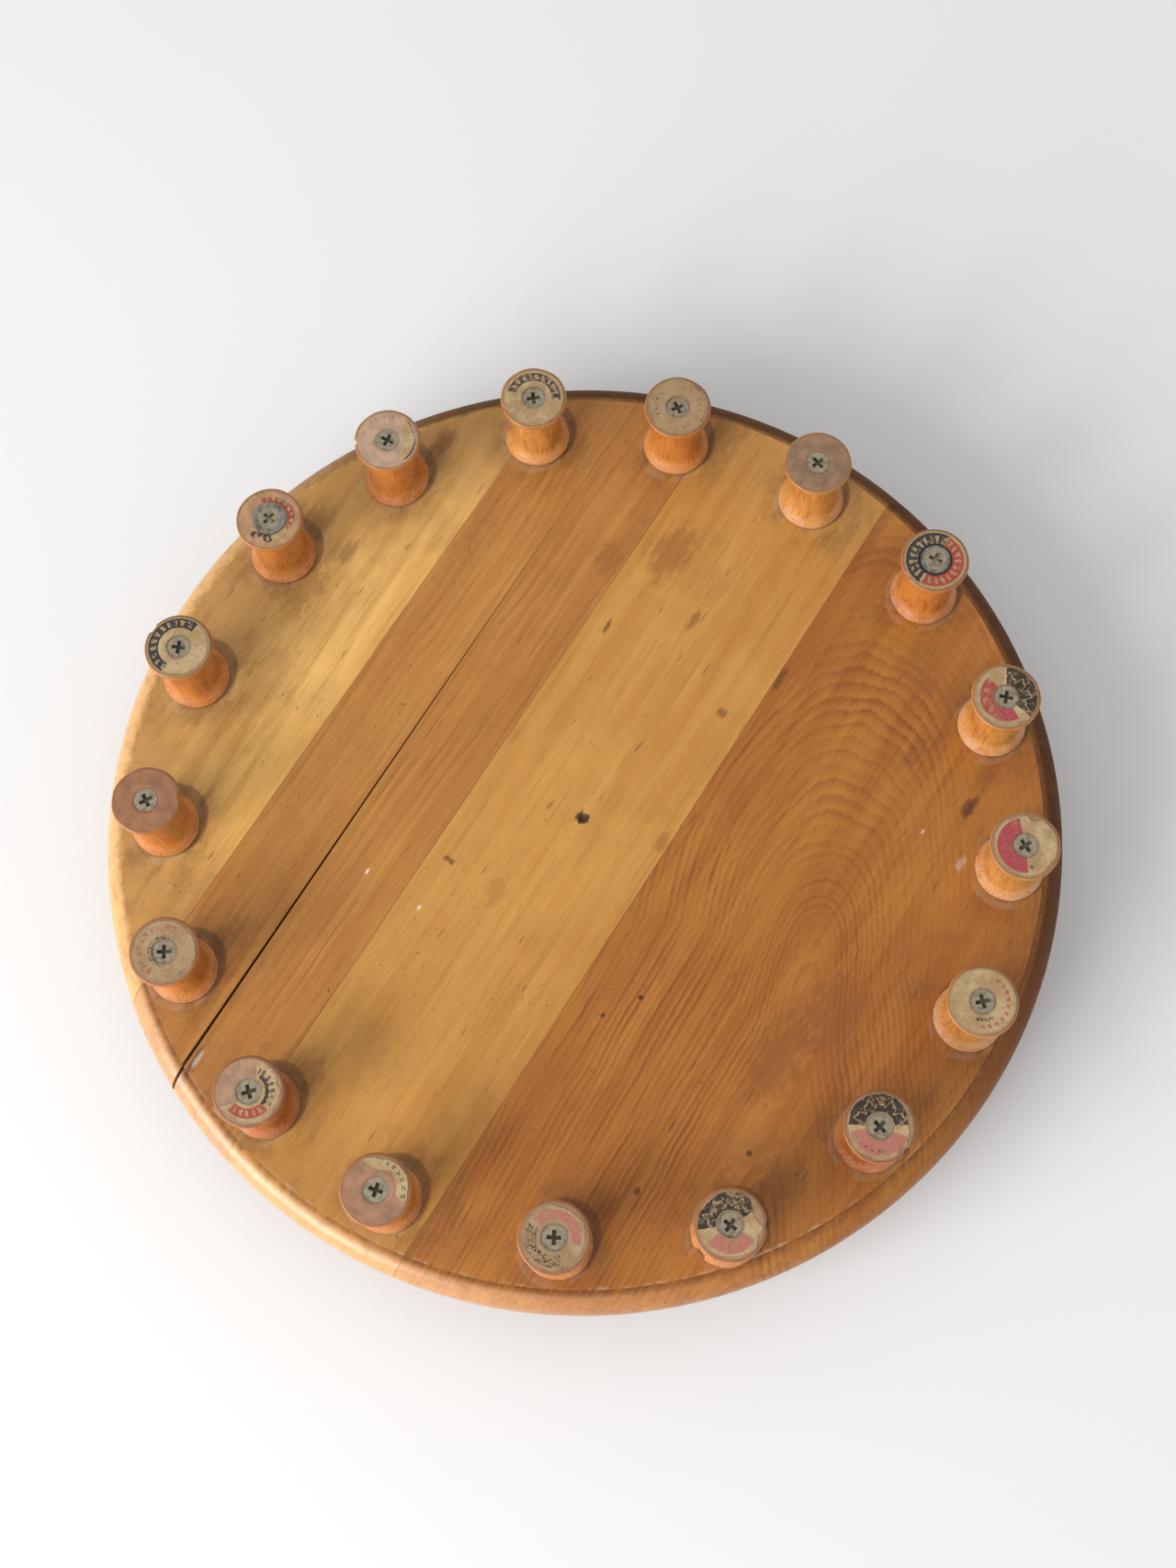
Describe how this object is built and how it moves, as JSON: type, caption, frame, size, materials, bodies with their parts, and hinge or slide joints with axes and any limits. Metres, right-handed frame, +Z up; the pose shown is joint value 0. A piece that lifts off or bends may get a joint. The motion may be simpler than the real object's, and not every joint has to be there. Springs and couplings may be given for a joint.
{
  "type": "yarn swift",
  "caption": "Round planked board with a moulded rim that turns on a ball bearing above a small base, with thread spools screwed upright round its edge as pegs.",
  "frame": {"origin": "on the table under the centre of the board, at the bottom of the felt feet", "axes": "+Z up, along the axis on which the board turns; +Y along the planks' grain; the open glue joint is widest at -Y"},
  "size_m": [0.3556, 0.3556, 0.0823],
  "materials": {
    "varnished_board": "worn satin varnish",
    "varnished_spool": "worn gloss varnish",
    "base_wood": "thin varnish",
    "printed_paper": "aged printed paper",
    "plated_screw": "dull plating",
    "zinc_plate": "bright zinc plating",
    "bearing_steel": "polished",
    "felt": "pressed felt"
  },
  "bodies": {
    "base": {"base_disc": "base_wood", "lower_bearing_plate": "zinc_plate", "lower_bearing_screws": "plated_screw", "felt_foot_1": "felt", "felt_foot_2": "felt", "felt_foot_3": "felt", "felt_foot_4": "felt"},
    "ball_ring": {"bearing_balls": "bearing_steel", "ball_cage": "zinc_plate"},
    "turntable": {"pale_outer_plank": "varnished_board", "tan_narrow_plank": "varnished_board", "brown_narrow_plank": "varnished_board", "pale_centre_plank": "varnished_board", "figured_wide_plank": "varnished_board", "spool_01": "varnished_spool", "spool_02": "varnished_spool", "spool_03": "varnished_spool", "spool_04": "varnished_spool", "spool_05": "varnished_spool", "spool_06": "varnished_spool", "spool_07": "varnished_spool", "spool_08": "varnished_spool", "spool_09": "varnished_spool", "spool_10": "varnished_spool", "spool_11": "varnished_spool", "spool_12": "varnished_spool", "spool_13": "varnished_spool", "spool_14": "varnished_spool", "spool_15": "varnished_spool", "spool_16": "varnished_spool", "spool_17": "varnished_spool", "label_01": "printed_paper", "label_02": "printed_paper", "label_04": "printed_paper", "label_05": "printed_paper", "label_06": "printed_paper", "label_07": "printed_paper", "label_08": "printed_paper", "label_09": "printed_paper", "label_10": "printed_paper", "label_11": "printed_paper", "label_12": "printed_paper", "label_13": "printed_paper", "label_15": "printed_paper", "label_16": "printed_paper", "label_17": "printed_paper", "spool_screws": "plated_screw", "cup_washers": "plated_screw", "upper_bearing_plate": "zinc_plate", "upper_bearing_screws": "plated_screw"}
  },
  "joints": [
    {"name": "board_turn", "type": "hinge", "parent": "base", "child": "turntable", "pos_m": [0, 0, 0.0249], "axis": [0, 0, 1], "continuous": true},
    {"name": "ball_ring_turn", "type": "hinge", "parent": "base", "child": "ball_ring", "pos_m": [0, 0, 0.0239], "axis": [0, 0, 1], "continuous": true}
  ],
  "couplings": [
    {"joint": "ball_ring_turn", "follows": "board_turn", "ratio": 0.5}
  ]
}
